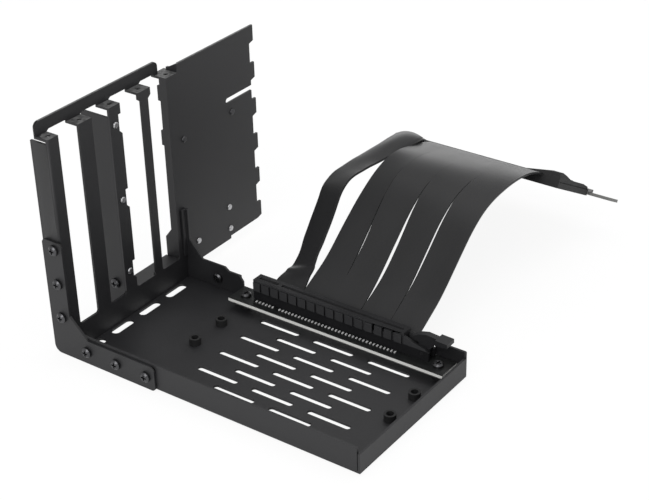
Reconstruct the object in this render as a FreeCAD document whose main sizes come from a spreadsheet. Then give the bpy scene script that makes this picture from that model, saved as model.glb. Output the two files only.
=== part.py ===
"""Upright mount for an add-in card: folded steel tray and rear frame, riser slot and flat ribbon.

Lengths are millimetres, laid out from one datum corner: x from the rear sheet's front face towards
the tray's front wall, y from the tray's near wall towards the ribbon, z up from the tray's underside.
Every body is then shifted so that the middle of the tray's underside is the origin.
"""
import FreeCAD, Part
import math
import os

import Sketcher

SIZES = (
    ("slot_pitch", 20.32, "standard distance between expansion slots"),
    ("steel", 1.2, "thickness of every folded sheet"),
    ("bend", 1.6, "outside radius of a fold"),
    ("wall_height", 14.2, "tray walls"),
    ("front_height", 11.3, "tray's front wall"),
    ("far_margin", 7.78, "tray beyond the last slot opening"),
    ("stub_length", 17.2, "far wall left at the tray's front"),
    ("corner_seam", 0.4, "open seam where the near wall meets the front wall"),
    ("vent_length", 23.5, "vent slot end to end"),
    ("vent_width", 3.1, "vent slot"),
    ("vent_step_x", 32.0, "vent columns"),
    ("vent_step_y", 8.1, "vent rows"),
    ("vent_start", 69.4, "first vent column"),
    ("rear_slot_length", 14.2, "rear fixing slot end to end"),
    ("rear_slot_width", 4.7, "rear fixing slot"),
    ("rear_slot_x", 3.6, "rear fixing slots from the rear sheet"),
    ("rear_slot_y", 11.0, "first rear fixing slot"),
    ("opening_height", 100.5, "slot openings above the sill"),
    ("post_width", 7.1, "near post"),
    ("bar_one", 8.9, "first bar"),
    ("bar_two", 7.8, "second bar"),
    ("bar_three", 5.1, "third bar"),
    ("tab_width", 8.9, "screw ledge tabs"),
    ("ledge_depth", 7.0, "screw ledges behind the front face"),
    ("strip_height", 6.9, "upstanding strip above the ledges"),
    ("strip_relief", 0.9, "bend reliefs in the strip above the ledges"),
    ("post_flange", 11.0, "near post's return"),
    ("plate_fold", 4.5, "cover plate's return"),
    ("sill_tab", 9.0, "bent-back tabs at the sill"),
    ("plate_width", 68.5, "cover plate across its edge tabs"),
    ("plate_rise", 4.6, "cover plate above the ledges"),
    ("plate_low", 6.8, "cover plate's lower edge"),
    ("edge_tab", 3.3, "depth of the cover plate's edge tabs"),
    ("edge_tab_height", 8.4, "edge tab"),
    ("slit", 2.8, "width of the cover plate's slit"),
    ("slit_run", 24.5, "slit's reach into the cover plate"),
    ("slit_drop", 33.7, "slit below the cover plate's top"),
    ("plate_step", 41.8, "step in the cover plate's lower edge, from its fold"),
    ("rivet_drop", 41.0, "upper rivets below the cover plate's top"),
    ("rivet_in", 10.0, "first upper rivet from the cover plate's fold"),
    ("rivet_out", 48.4, "second upper rivet from the cover plate's fold"),
    ("rivet_margin", 7.8, "lower rivet outside the tray"),
    ("ledge_hole", 1.35, "radius of a card screw's hole"),
    ("divider_depth", 18.5, "stiffener's web"),
    ("gusset_arm_x", 53.0, "gusset along the tray"),
    ("gusset_arm_z", 62.5, "gusset up the post"),
    ("gusset_width", 12.2, "gusset's upright arm"),
    ("gusset_step", 18.4, "gusset screws"),
    ("bracket_height", 41.5, "side bracket up the post"),
    ("bracket_foot", 2.6, "side bracket's foot on the post"),
    ("screw_shank", 1.5, "screw radius"),
    ("screw_head", 2.7, "screw head radius"),
    ("screw_height", 1.9, "screw head"),
    ("screw_play", 0.3, "room around a screw's shank"),
    ("rivet_shank", 1.0, "rivet radius"),
    ("rivet_play", 0.05, "room around a rivet's shank"),
    ("rivet_head", 1.7, "rivet head radius"),
    ("rivet_height", 0.7, "rivet head"),
    ("standoff_radius", 2.9, "standoff"),
    ("standoff_height", 3.6, "standoff above the tray's floor"),
    ("base_thickness", 1.0, "insulating plate"),
    ("board_thickness", 1.6, "circuit boards"),
    ("board_start", 37.0, "riser board's rear end"),
    ("board_depth", 15.1, "riser board in front of the tray's far edge"),
    ("housing_length", 89.0, "x16 slot housing"),
    ("housing_width", 6.4, "slot housing between its ribs"),
    ("housing_height", 11.25, "slot housing above its board"),
    ("rib_depth", 1.0, "ribs on the slot housing"),
    ("rib_height", 4.8, "ribs on the slot housing's upper half"),
    ("card_gap", 1.8, "gap for a card's edge"),
    ("contact_step", 1.0, "contacts"),
    ("latch_reach", 9.6, "latch pivot beyond the slot housing"),
    ("latch_width", 3.2, "latch between its ears"),
    ("latch_play", 0.25, "latch to ear"),
    ("pivot_radius", 1.0, "latch pivot"),
    ("pivot_play", 0.05, "running fit of the pivot"),
    ("ribbon_gap", 0.5, "slit between ribbon strips"),
    ("ribbon_thickness", 1.1, "ribbon strips"),
    ("ribbon_reach", 117.5, "ribbon from its clamp to the plug"),
    ("ribbon_crest", 47.0, "ribbon's arch above the clamp"),
    ("ribbon_end", 34.0, "plug above the clamp"),
    ("ribbon_angle", 28.0, "ribbon's slope at the clamp"),
    ("plug_angle", 29.5, "ribbon's slope at the plug"),
    ("hood_length", 40.0, "plug hood"),
    ("hood_depth", 5.1, "plug hood below the ribbon's middle"),
    ("hood_margin", 10.0, "hood beyond the ribbon"),
    ("hood_floor", 0.6, "hood under the plug's board"),
    ("hood_hump", 2.4, "strain relief hump above the hood"),
    ("board_seat", 8.0, "plug's board inside the hood"),
    ("edge_length", 16.0, "card edge in front of the hood"),
)


class Dim:
    """A length with its value and the sheet expression that gives it."""

    def __init__(self, value, text):
        self.value = value
        self.text = text

    def __add__(self, other):
        return join(self, "+", other)

    def __radd__(self, other):
        return join(other, "+", self)

    def __sub__(self, other):
        return join(self, "-", other)

    def __rsub__(self, other):
        return join(other, "-", self)

    def __mul__(self, other):
        return join(self, "*", other)

    def __rmul__(self, other):
        return join(other, "*", self)

    def __truediv__(self, other):
        return join(self, "/", other)

    def __neg__(self):
        return join(0.0, "-", self)


def as_dim(size):
    """A plain number becomes a Dim whose expression is that number."""
    if isinstance(size, Dim):
        return size
    return Dim(float(size), f"({float(size)!r})")


def join(left, sign, right):
    """The Dim that one arithmetic sign makes of two."""
    left = as_dim(left)
    right = as_dim(right)
    if sign == "+":
        value = left.value + right.value
    elif sign == "-":
        value = left.value - right.value
    elif sign == "*":
        value = left.value * right.value
    else:
        value = left.value / right.value
    return Dim(value, f"({left.text} {sign} {right.text})")


doc = FreeCAD.newDocument("card_mount")
sheet = doc.addObject("Spreadsheet::Sheet", "sizes")
size = {}
for row, (alias, value, note) in enumerate(SIZES, start=1):
    sheet.set(f"A{row}", note)
    sheet.set(f"B{row}", str(value))
    sheet.setAlias(f"B{row}", alias)
    size[alias] = Dim(value, f"sizes.{alias}")
doc.recompute()

steel = size["steel"]
bend = size["bend"]
wall = size["wall_height"]
board_start = size["board_start"]
housing_start = board_start + 11.5
housing_end = housing_start + size["housing_length"]
board_end = housing_end + 24.9
length = board_end + 4.8
sill = wall + 0.2
ledge_top = sill + size["opening_height"]
pitch = size["slot_pitch"]
bar_left = [pitch * number - 0.26 for number in range(5)]
plate_left = bar_left[4]
width = plate_left + size["far_margin"]
plate_right = plate_left + size["plate_width"]
plate_top = ledge_top + size["plate_rise"]
hole = size["screw_shank"] + size["screw_play"]
rivet_hole = size["rivet_shank"] + size["rivet_play"]


def bind(item, path, dim):
    """Tie one property of a document object to the sheet."""
    item.setExpression(path, as_dim(dim).text)


def new_body(label):
    """An empty body, placed so that the tray's middle is the origin."""
    body = doc.addObject("PartDesign::Body", label)
    body.Label = label
    bind(body, "Placement.Base.x", -length / 2)
    bind(body, "Placement.Base.y", -width / 2)
    return body


def sketch_on(body, plane, lift=0.0):
    """A sketch on one of the body's origin planes, lifted along that plane's normal."""
    sketch = body.newObject("Sketcher::SketchObject", "Sketch")
    support = [item for item in body.Origin.OriginFeatures if item.Role == plane][0]
    sketch.AttachmentSupport = [(support, "")]
    sketch.MapMode = "FlatFace"
    bind(sketch, "AttachmentOffset.Base.z", lift)
    return sketch


def pin(sketch, geometry, point, x, y):
    """Hold one point of a sketch at sheet-driven coordinates."""
    for kind, dim in (("DistanceX", as_dim(x)), ("DistanceY", as_dim(y))):
        rule = Sketcher.Constraint(kind, -1, 1, geometry, point, dim.value)
        number = sketch.addConstraint(rule)
        sketch.setExpression(f"Constraints[{number}]", dim.text)


def polygon(sketch, corners):
    """A closed outline with every corner driven by the sheet."""
    first = sketch.GeometryCount
    spots = [FreeCAD.Vector(as_dim(x).value, as_dim(y).value, 0) for x, y in corners]
    count = len(spots)
    lines = [Part.LineSegment(spots[i], spots[(i + 1) % count]) for i in range(count)]
    sketch.addGeometry(lines, False)
    joins = []
    for i in range(count):
        joins.append(Sketcher.Constraint("Coincident", first + i, 2, first + (i + 1) % count, 1))
    sketch.addConstraint(joins)
    for i, (x, y) in enumerate(corners):
        pin(sketch, first + i, 1, x, y)


def rectangle(sketch, x0, x1, y0, y1):
    """A closed outline with four corners."""
    polygon(sketch, [(x0, y0), (x1, y0), (x1, y1), (x0, y1)])


def circle(sketch, x, y, radius):
    """A circle with its centre and radius driven by the sheet."""
    radius = as_dim(radius)
    centre = FreeCAD.Vector(as_dim(x).value, as_dim(y).value, 0)
    number = sketch.addGeometry(Part.Circle(centre, FreeCAD.Vector(0, 0, 1), radius.value), False)
    pin(sketch, number, 3, x, y)
    rule = sketch.addConstraint(Sketcher.Constraint("Radius", number, radius.value))
    sketch.setExpression(f"Constraints[{rule}]", radius.text)


def obround(sketch, x, y, reach, across, along_x):
    """A slot with round ends, reach long over its ends."""
    half = (reach - across) / 2
    radius = as_dim(across / 2)
    if along_x:
        ends = [(x - half, y, 90.0), (x + half, y, 270.0)]
    else:
        ends = [(x, y - half, 180.0), (x, y + half, 0.0)]
    first = sketch.GeometryCount
    arcs = []
    for end_x, end_y, start in ends:
        centre = FreeCAD.Vector(as_dim(end_x).value, as_dim(end_y).value, 0)
        full = Part.Circle(centre, FreeCAD.Vector(0, 0, 1), radius.value)
        turn = math.radians(start)
        arcs.append(Part.ArcOfCircle(full, turn, turn + math.pi))
    sides = [
        Part.LineSegment(arcs[0].EndPoint, arcs[1].StartPoint),
        Part.LineSegment(arcs[1].EndPoint, arcs[0].StartPoint),
    ]
    sketch.addGeometry(arcs + sides, False)
    sketch.addConstraint([
        Sketcher.Constraint("Tangent", first, 2, first + 2, 1),
        Sketcher.Constraint("Tangent", first + 2, 2, first + 1, 1),
        Sketcher.Constraint("Tangent", first + 1, 2, first + 3, 1),
        Sketcher.Constraint("Tangent", first + 3, 2, first, 1),
        Sketcher.Constraint("Equal", first, first + 1),
    ])
    for number, (end_x, end_y, start) in enumerate(ends):
        pin(sketch, first + number, 3, end_x, end_y)
    rule = sketch.addConstraint(Sketcher.Constraint("Radius", first, radius.value))
    sketch.setExpression(f"Constraints[{rule}]", radius.text)


def pad(body, sketch, height, back=False):
    """Raise a sketch into material, along the plane's normal or against it."""
    feature = body.newObject("PartDesign::Pad", "Pad")
    feature.Profile = sketch
    bind(feature, "Length", height)
    feature.Reversed = back
    body.Tip = feature
    return feature


def pocket(body, sketch, back, depth=None):
    """Cut a sketch through the body, or to a depth; the volume has to fall."""
    doc.recompute()
    before = body.Shape.Volume
    feature = body.newObject("PartDesign::Pocket", "Pocket")
    feature.Profile = sketch
    if depth is None:
        feature.Type = 1
    else:
        bind(feature, "Length", depth)
    feature.Reversed = back
    body.Tip = feature
    doc.recompute()
    if body.Shape.Volume > before - 0.01:
        raise ValueError(f"{body.Label}: a pocket cuts nothing")
    return feature


def fillet(body, radius, chosen):
    """Round the edges that a test of their middle point and direction picks."""
    doc.recompute()
    base = body.Tip
    names = []
    for number, edge in enumerate(base.Shape.Edges, start=1):
        if edge.Degenerated or not isinstance(edge.Curve, Part.Line):
            continue
        ends = edge.Vertexes
        middle = (ends[0].Point + ends[1].Point) * 0.5
        if chosen(middle, edge.Curve.Direction):
            names.append(f"Edge{number}")
    if not names:
        raise ValueError(f"{body.Label}: no edge to round")
    feature = body.newObject("PartDesign::Fillet", "Fillet")
    feature.Base = (base, names)
    bind(feature, "Radius", radius)
    body.Tip = feature
    doc.recompute()
    return feature


def near(first, second):
    """Whether a coordinate meets a size."""
    return abs(first - as_dim(second).value) < 0.02


def pattern(body, original, steps):
    """Repeat one feature along the origin axes: (axis, step, count) for each direction."""
    rows = []
    whole = body.newObject("PartDesign::MultiTransform", "Pattern")
    whole.Originals = [original]
    for axis, step, count in steps:
        line = [item for item in body.Origin.OriginFeatures if item.Role == axis][0]
        part = body.newObject("PartDesign::LinearPattern", "Row")
        part.Direction = (line, [""])
        bind(part, "Length", step * (count - 1))
        part.Occurrences = count
        rows.append(part)
    whole.Transformations = rows
    body.Tip = whole
    doc.recompute()
    return whole


def group(label, shape, places):
    """One node of equal solids, a copy of the shape at each placement."""
    item = doc.addObject("Part::Feature", label)
    item.Label = label
    copies = []
    for place in places:
        copy = shape.copy()
        copy.Placement = place.multiply(copy.Placement)
        copies.append(copy)
    item.Shape = Part.makeCompound(copies)
    return item


def at(x, y, z, axis="z"):
    """A placement at datum coordinates whose local z looks along an axis."""
    turns = {
        "z": FreeCAD.Rotation(),
        "x": FreeCAD.Rotation(FreeCAD.Vector(0, 1, 0), 90),
        "-x": FreeCAD.Rotation(FreeCAD.Vector(0, 1, 0), -90),
        "-y": FreeCAD.Rotation(FreeCAD.Vector(1, 0, 0), 90),
    }
    spot = FreeCAD.Vector(
        as_dim(x).value - as_dim(length).value / 2,
        as_dim(y).value - as_dim(width).value / 2,
        as_dim(z).value,
    )
    return FreeCAD.Placement(spot, turns[axis])


# Places that several pieces share.
gusset_up = [(-3.2, 21.4 + size["gusset_step"] * number) for number in range(3)]
gusset_along = [(11.0 + size["gusset_step"] * number, 6.8) for number in range(3)]
divider_spots = [
    (bar_left[2] + 3.6, sill + size["opening_height"] * (0.113 + 0.394 * number))
    for number in range(3)
]
web_screw = (20.5, 7.4)
foot_screw = (-6.7, sill + 4.0)
riser_y = width - 8.8
riser_spots = [(board_start + 6.5, riser_y), (board_end - 5.9, riser_y)]
standoff_spots = []
for number in range(3):
    for x, y in riser_spots:
        standoff_spots.append((x, y - pitch * number))
rivet_spots = [
    (plate_left + size["rivet_in"], plate_top - size["rivet_drop"]),
    (plate_left + size["rivet_out"], plate_top - size["rivet_drop"]),
    (plate_left + size["plate_step"], sill + 11.4),
    (plate_left + size["plate_step"], sill - 1.4),
    (width + size["rivet_margin"], sill + 3.4),
]
ledge_holes = [(-3.7, 4.2 + pitch * number) for number in range(5)]

# Tray: a vented floor with a near wall, a front wall and two short far walls.
tray = new_body("tray")
outline = sketch_on(tray, "XY_Plane")
rectangle(outline, 0.0, length, 0.0, width)
pad(tray, outline, steel)
outline = sketch_on(tray, "XY_Plane")
polygon(outline, [
    (0.0, 0.0),
    (length, 0.0),
    (length, width),
    (length - size["stub_length"], width),
    (length - size["stub_length"], width - steel),
    (length - steel, width - steel),
    (length - steel, steel),
    (0.0, steel),
])
pad(tray, outline, wall)
outline = sketch_on(tray, "XY_Plane")
rectangle(outline, 3.0, board_start - 3.0, width - steel, width)
pad(tray, outline, wall - 2.2)
fillet(
    tray,
    bend,
    lambda p, d: near(p.z, 0.0) and (near(p.y, 0.0) or near(p.x, length))
    or near(p.x, length) and near(p.y, width) and abs(d.z) > 0.9,
)
outline = sketch_on(tray, "XY_Plane", wall)
rectangle(outline, length - steel - size["corner_seam"], length - steel, -1.0, steel)
pocket(tray, outline, False, wall - bend * 1.4)
outline = sketch_on(tray, "XY_Plane", wall)
rectangle(outline, length - steel, length + 1.0, -1.0, width - bend)
pocket(tray, outline, False, wall - size["front_height"])
fillet(
    tray, 3.0, lambda p, d: near(p.z, wall) and near(p.x, length - size["stub_length"]) and abs(d.y) > 0.9
)
for start, first_row, columns in ((0.0, 0.0, 3), (0.5, 1.0, 2)):
    outline = sketch_on(tray, "XY_Plane")
    obround(
        outline,
        size["vent_start"] + size["vent_step_x"] * start,
        width - 15.7 - size["vent_step_y"] * (first_row + 6.0),
        size["vent_length"],
        size["vent_width"],
        True,
    )
    vent = pocket(tray, outline, True)
    pattern(tray, vent, [
        ("X_Axis", size["vent_step_x"], columns),
        ("Y_Axis", size["vent_step_y"] * 2, 4),
    ])
outline = sketch_on(tray, "XY_Plane")
obround(
    outline, size["rear_slot_x"], size["rear_slot_y"], size["rear_slot_length"], size["rear_slot_width"], False
)
rear_slot = pocket(tray, outline, True)
pattern(tray, rear_slot, [("Y_Axis", pitch, 4)])
outline = sketch_on(tray, "XZ_Plane", -steel * 2)
for x, z in gusset_along:
    circle(outline, x, z, hole)
pocket(tray, outline, True, steel * 3)
outline = sketch_on(tray, "XZ_Plane", steel - width)
circle(outline, web_screw[0], web_screw[1], hole)
pocket(tray, outline, False, steel * 2)

# Rear frame: one punched sheet, a comb of bars with a cover plate, then its folds.
frame = new_body("rear_frame")
outline = sketch_on(frame, "YZ_Plane", -steel)
sheet_line = [
    (0.0, 0.0),
    (width, 0.0),
    (width, size["plate_low"]),
    (plate_left + size["plate_step"], size["plate_low"]),
    (plate_left + size["plate_step"], size["plate_low"] + 1.6),
]
edge_step = (plate_top - sill - 3.5) / 5
edge_in = plate_right - size["edge_tab"]
for number in range(5, -1, -1):
    top = plate_top - edge_step * number
    low = top - size["edge_tab_height"]
    sheet_line += [(edge_in, low - 1.0), (plate_right, low), (plate_right, top), (edge_in, top)]
sheet_line = sheet_line[:-1]
sheet_line += [
    (plate_left + 9.6, plate_top),
    (plate_left + 9.6, ledge_top),
    (plate_left, ledge_top),
    (plate_left, sill),
]
slim = bar_left[3] + 1.9
head_low = ledge_top - 3.6
sheet_line += [
    (slim + size["bar_three"], sill),
    (slim + size["bar_three"], head_low - 1.5),
    (bar_left[3] + size["tab_width"], head_low),
    (bar_left[3] + size["tab_width"], ledge_top),
    (bar_left[3], ledge_top),
    (bar_left[3], head_low),
    (slim, head_low - 1.5),
    (slim, sill),
]
bar_edge = bar_left[2] + size["bar_two"]
sheet_line.append((bar_edge, sill))
for y, z in divider_spots:
    sheet_line += [
        (bar_edge, z - 5.6),
        (bar_edge - 1.7, z - 3.9),
        (bar_edge - 1.7, z + 4.6),
        (bar_edge, z + 4.6),
    ]
sheet_line += [
    (bar_edge, ledge_top),
    (bar_left[2], ledge_top),
    (bar_left[2], sill),
    (bar_left[1] + size["bar_one"], sill),
    (bar_left[1] + size["bar_one"], ledge_top),
    (bar_left[1], ledge_top),
    (bar_left[1], sill),
    (size["post_width"], sill),
    (size["post_width"], ledge_top),
    (0.0, ledge_top),
]
polygon(outline, sheet_line)
pad(frame, outline, steel)
fillet(frame, 1.3, lambda p, d: abs(d.x) > 0.9 and near(p.z, sill))
outline = sketch_on(frame, "YZ_Plane", -steel)
slit_end = plate_right - size["slit_run"]
slit_length = size["slit_run"] + size["slit"] * 2
obround(outline, slit_end + slit_length / 2, plate_top - size["slit_drop"], slit_length, size["slit"], True)
for y, z in divider_spots + rivet_spots:
    circle(outline, y, z, rivet_hole)
pocket(frame, outline, True)
outline = sketch_on(frame, "XY_Plane", ledge_top - steel)
rectangle(outline, -size["ledge_depth"], 0.0, 0.0, size["post_width"])
for number, across in enumerate(("bar_one", "bar_two", "tab_width"), start=1):
    rectangle(outline, -size["ledge_depth"], 0.0, bar_left[number], bar_left[number] + size[across])
rectangle(outline, -size["ledge_depth"] - 2.4, 0.0, plate_left, plate_left + 9.6)
pad(frame, outline, steel)
outline = sketch_on(frame, "XY_Plane", sill - steel)
rectangle(outline, -size["sill_tab"], 0.0, bar_edge + 0.4, plate_left - 0.4)
pad(frame, outline, steel)
outline = sketch_on(frame, "YZ_Plane", -size["ledge_depth"] - steel)
rectangle(outline, 0.0, plate_left + 2.4, ledge_top - steel, ledge_top + size["strip_height"])
pad(frame, outline, steel)
fillet(
    frame,
    2.8,
    lambda p, d: abs(d.x) > 0.9
    and p.x < -6
    and (near(p.y, 0.0) or near(p.y, plate_left + 2.4))
    and near(p.z, ledge_top + size["strip_height"]),
)
outline = sketch_on(frame, "YZ_Plane", -size["ledge_depth"] - steel)
relief_top = ledge_top + size["strip_relief"]
relief_ends = [
    (size["post_width"], bar_left[1]),
    (bar_left[1] + size["bar_one"], bar_left[2]),
    (bar_edge, bar_left[3]),
    (bar_left[3] + size["tab_width"], plate_left),
]
for start, end in relief_ends:
    polygon(outline, [
        (start, ledge_top - steel * 2),
        (end, ledge_top - steel * 2),
        (end, ledge_top),
        (end - 1.2, relief_top),
        (start + 1.2, relief_top),
        (start, ledge_top),
    ])
pocket(frame, outline, True, steel)
outline = sketch_on(frame, "XZ_Plane", -plate_left - 9.6)
polygon(outline, [
    (0.0, ledge_top - steel / 2),
    (0.0, plate_top),
    (-0.6, plate_top),
    (-5.6, ledge_top + 1.8),
    (-size["ledge_depth"], ledge_top + 1.6),
    (-size["ledge_depth"], ledge_top - steel / 2),
])
pad(frame, outline, steel)
outline = sketch_on(frame, "XZ_Plane")
rectangle(outline, -size["post_flange"], 0.0, 0.0, ledge_top - steel * 2)
pad(frame, outline, steel, True)
outline = sketch_on(frame, "XZ_Plane", -plate_left)
fold = -size["plate_fold"]
polygon(outline, [
    (0.0, sill - steel),
    (fold - 4.0, sill - steel),
    (fold - 4.0, sill + 10.8),
    (fold, sill + 16.0),
    (fold, ledge_top - 36.9),
    (fold - 1.3, ledge_top - 36.9),
    (fold - 1.3, ledge_top - 28.9),
    (fold, ledge_top - 28.9),
    (fold, ledge_top - 12.9),
    (fold - 1.5, ledge_top - 12.9),
    (fold - 1.5, ledge_top - 4.9),
    (fold, ledge_top - 4.9),
    (fold, ledge_top - steel / 2),
    (0.0, ledge_top - steel / 2),
])
pad(frame, outline, steel, True)
fillet(frame, steel * 0.9, lambda p, d: near(p.x, 0.0) and near(p.y, 0.0) and abs(d.z) > 0.9)
outline = sketch_on(frame, "XY_Plane", ledge_top + steel)
for x, y in ledge_holes:
    circle(outline, x, y, size["ledge_hole"])
pocket(frame, outline, False, steel * 3)
outline = sketch_on(frame, "XZ_Plane", steel)
for x, z in gusset_up:
    circle(outline, x, z, hole)
pocket(frame, outline, False, steel * 3)

# Divider: an L-section behind the second bar.
divider = new_body("divider")
outline = sketch_on(divider, "XY_Plane", 4.0)
web = bar_left[2]
polygon(outline, [
    (-steel, web),
    (-steel, bar_edge - 1.7),
    (-steel * 2, bar_edge - 1.7),
    (-steel * 2, web + steel),
    (-size["divider_depth"], web + steel),
    (-size["divider_depth"], web),
])
pad(divider, outline, ledge_top - 4.9 - 4.0)
outline = sketch_on(divider, "YZ_Plane", -steel * 3)
for y, z in divider_spots:
    circle(outline, y, z, rivet_hole)
pocket(divider, outline, True)
outline = sketch_on(divider, "XZ_Plane", -web - steel * 2)
circle(outline, foot_screw[0], foot_screw[1], hole)
pocket(divider, outline, True)

# Corner gusset: a flat L outside the near wall and the near post.
gusset = new_body("corner_gusset")
outline = sketch_on(gusset, "XZ_Plane")
gusset_left = 1.6 - size["gusset_width"]
polygon(outline, [
    (gusset_left, 0.0),
    (size["gusset_arm_x"], 0.0),
    (size["gusset_arm_x"], wall - 1.2),
    (11.9, wall - 1.2),
    (1.6, wall + 9.0),
    (1.6, size["gusset_arm_z"]),
    (gusset_left, size["gusset_arm_z"]),
])
pad(gusset, outline, steel)
fillet(
    gusset,
    2.2,
    lambda p, d: abs(d.y) > 0.9 and (near(p.z, size["gusset_arm_z"]) or near(p.x, size["gusset_arm_x"])),
)
fillet(gusset, 4.0, lambda p, d: abs(d.y) > 0.9 and near(p.x, gusset_left) and near(p.z, 0.0))
outline = sketch_on(gusset, "XZ_Plane", steel * 2)
for x, z in gusset_up + gusset_along:
    circle(outline, x, z, hole)
pocket(gusset, outline, False)

# Side bracket: a web inside the far rear wall, with a foot on the frame.
bracket = new_body("side_bracket")
outline = sketch_on(bracket, "XZ_Plane", steel - width)
web_end = board_start - 0.4
polygon(outline, [
    (0.0, steel),
    (web_end, steel),
    (web_end, wall - 4.4),
    (web_end - 2.6, wall - 1.2),
    (web_end - 9.1, wall - 1.2),
    (web_end - 11.6, wall + 0.7),
    (10.5, wall + 0.7),
    (2.4, wall + 10.4),
    (2.4, size["bracket_height"]),
    (0.0, size["bracket_height"]),
])
pad(bracket, outline, steel)
outline = sketch_on(bracket, "YZ_Plane")
rectangle(
    outline,
    width - steel * 2 - size["bracket_foot"],
    width - steel,
    sill + 0.4,
    size["bracket_height"],
)
pad(bracket, outline, steel)
outline = sketch_on(bracket, "XZ_Plane", steel * 3 - width)
circle(outline, web_screw[0], web_screw[1], hole)
pocket(bracket, outline, False)

# One pan screw and one rivet along z, with the head's underside at z = 0. Both repeat, so they have few faces.
def fastener(label, shank, depth, head, height, edge):
    """A many-sided shank under a head whose upper edge is chamfered."""
    body = doc.addObject("PartDesign::Body", label)
    turns = [math.pi * (number + 0.5) / 6 for number in range(12)]
    for radius, rise, back in ((shank, depth, True), (head, height, False)):
        outline = sketch_on(body, "XY_Plane")
        polygon(outline, [(radius * math.cos(turn), radius * math.sin(turn)) for turn in turns])
        pad(body, outline, rise, back)
    doc.recompute()
    base = body.Tip
    rim = []
    for number, line in enumerate(base.Shape.Edges, start=1):
        if line.BoundBox.ZMin > height.value - 0.01:
            rim.append(f"Edge{number}")
    chamfer = body.newObject("PartDesign::Chamfer", "Chamfer")
    chamfer.Base = (base, rim)
    bind(chamfer, "Size", edge)
    body.Tip = chamfer
    return body


screw_height = size["screw_height"]
screw = fastener("pan_screw", size["screw_shank"], 3.0, size["screw_head"], screw_height, screw_height * 0.4)
outline = sketch_on(screw, "XY_Plane", screw_height)
polygon(outline, [
    (-0.4, -1.5), (0.4, -1.5), (0.4, -0.4), (1.5, -0.4), (1.5, 0.4), (0.4, 0.4),
    (0.4, 1.5), (-0.4, 1.5), (-0.4, 0.4), (-1.5, 0.4), (-1.5, -0.4), (-0.4, -0.4),
])
pocket(screw, outline, False, screw_height * 0.55)
rivet_height = size["rivet_height"]
rivet = fastener("rivet", size["rivet_shank"], steel * 2, size["rivet_head"], rivet_height, rivet_height * 0.6)
doc.recompute()

spots = [at(x, -steel, z, "-y") for x, z in gusset_up + gusset_along]
gusset_screws = group("gusset_screws", screw.Shape, spots)
divider_rivets = group("divider_rivets", rivet.Shape, [at(0.0, y, z, "x") for y, z in divider_spots])
side_screws = group("side_screws", screw.Shape, [
    at(web_screw[0], width - steel * 2, web_screw[1], "-y"),
    at(foot_screw[0], web, foot_screw[1], "-y"),
])
plate_rivets = group("plate_rivets", rivet.Shape, [at(0.0, y, z, "x") for y, z in rivet_spots])

# Riser: standoffs, insulating plate, board, and the screws that hold them.
standoff = doc.addObject("PartDesign::Body", "standoff")
outline = sketch_on(standoff, "XY_Plane")
circle(outline, 0.0, 0.0, size["standoff_radius"])
circle(outline, 0.0, 0.0, hole)
pad(standoff, outline, size["standoff_height"])
doc.recompute()
standoffs = group("standoffs", standoff.Shape, [at(x, y, steel) for x, y in standoff_spots])

base_low = steel + size["standoff_height"]
board_low = base_low + size["base_thickness"]
board_top = board_low + size["board_thickness"]
board_front = width - size["board_depth"]
inner = width - 1.8
ribbon_start = housing_start + 6.5
ribbon_width = size["housing_length"] - 4.0
clamp_start = ribbon_start - 2.0
clamp_end = ribbon_start + ribbon_width + 2.0
angle = math.radians(size["ribbon_angle"].value)
clamp_y = width + 0.7
clamp_z = board_top + 6.6

riser_base = new_body("riser_base")
outline = sketch_on(riser_base, "XY_Plane", base_low)
rectangle(outline, board_start + 0.5, board_end - 0.5, board_front + 0.5, inner - 0.3)
for x, y in riser_spots:
    circle(outline, x, y, hole)
pad(riser_base, outline, size["base_thickness"])

riser_board = new_body("riser_board")
outline = sketch_on(riser_board, "XY_Plane", board_low)
polygon(outline, [
    (board_start, board_front),
    (board_end, board_front),
    (board_end, inner),
    (clamp_end + 1.0, inner),
    (clamp_end + 1.0, width + 1.6),
    (clamp_start - 1.0, width + 1.6),
    (clamp_start - 1.0, inner),
    (board_start, inner),
])
for x, y in riser_spots:
    circle(outline, x, y, hole)
pad(riser_board, outline, size["board_thickness"])
riser_screws = group("riser_screws", screw.Shape, [at(x, y, board_top) for x, y in riser_spots])

# Slot housing: a ribbed block with a keyed gap for a card's edge and two ears for the latch.
slot_y = width - 5.7
half_block = size["housing_width"] / 2
housing = new_body("slot_housing")
outline = sketch_on(housing, "XY_Plane", board_top)
rectangle(outline, housing_start, housing_end, slot_y - half_block, slot_y + half_block)
pad(housing, outline, size["housing_height"])
rib_step = size["housing_length"] / 16
rib_low = board_top + size["housing_height"] - size["rib_height"] - 0.9
outline = sketch_on(housing, "XY_Plane", rib_low)
rib_out = half_block + size["rib_depth"]
rib_in = half_block - 0.2
rib_x = housing_start + rib_step * 0.1
rectangle(outline, rib_x, rib_x + rib_step * 0.76, slot_y - rib_out, slot_y - rib_in)
rectangle(outline, rib_x, rib_x + rib_step * 0.76, slot_y + rib_in, slot_y + rib_out)
rib = pad(housing, outline, size["rib_height"])
pattern(housing, rib, [("X_Axis", rib_step, 16)])
gap_start = housing_start + 2.2
key = gap_start + 11.65
gap_end = housing_end - 2.0
outline = sketch_on(housing, "XY_Plane", board_top + size["housing_height"])
half_gap = size["card_gap"] / 2
rectangle(outline, gap_start, key, slot_y - half_gap, slot_y + half_gap)
rectangle(outline, key + 1.8, gap_end, slot_y - half_gap, slot_y + half_gap)
pocket(housing, outline, False, size["housing_height"] - 2.3)
ear_inner = size["latch_width"] / 2 + size["latch_play"]
pivot_x = housing_end + size["latch_reach"]
pivot_z = board_top + 3.4
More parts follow.
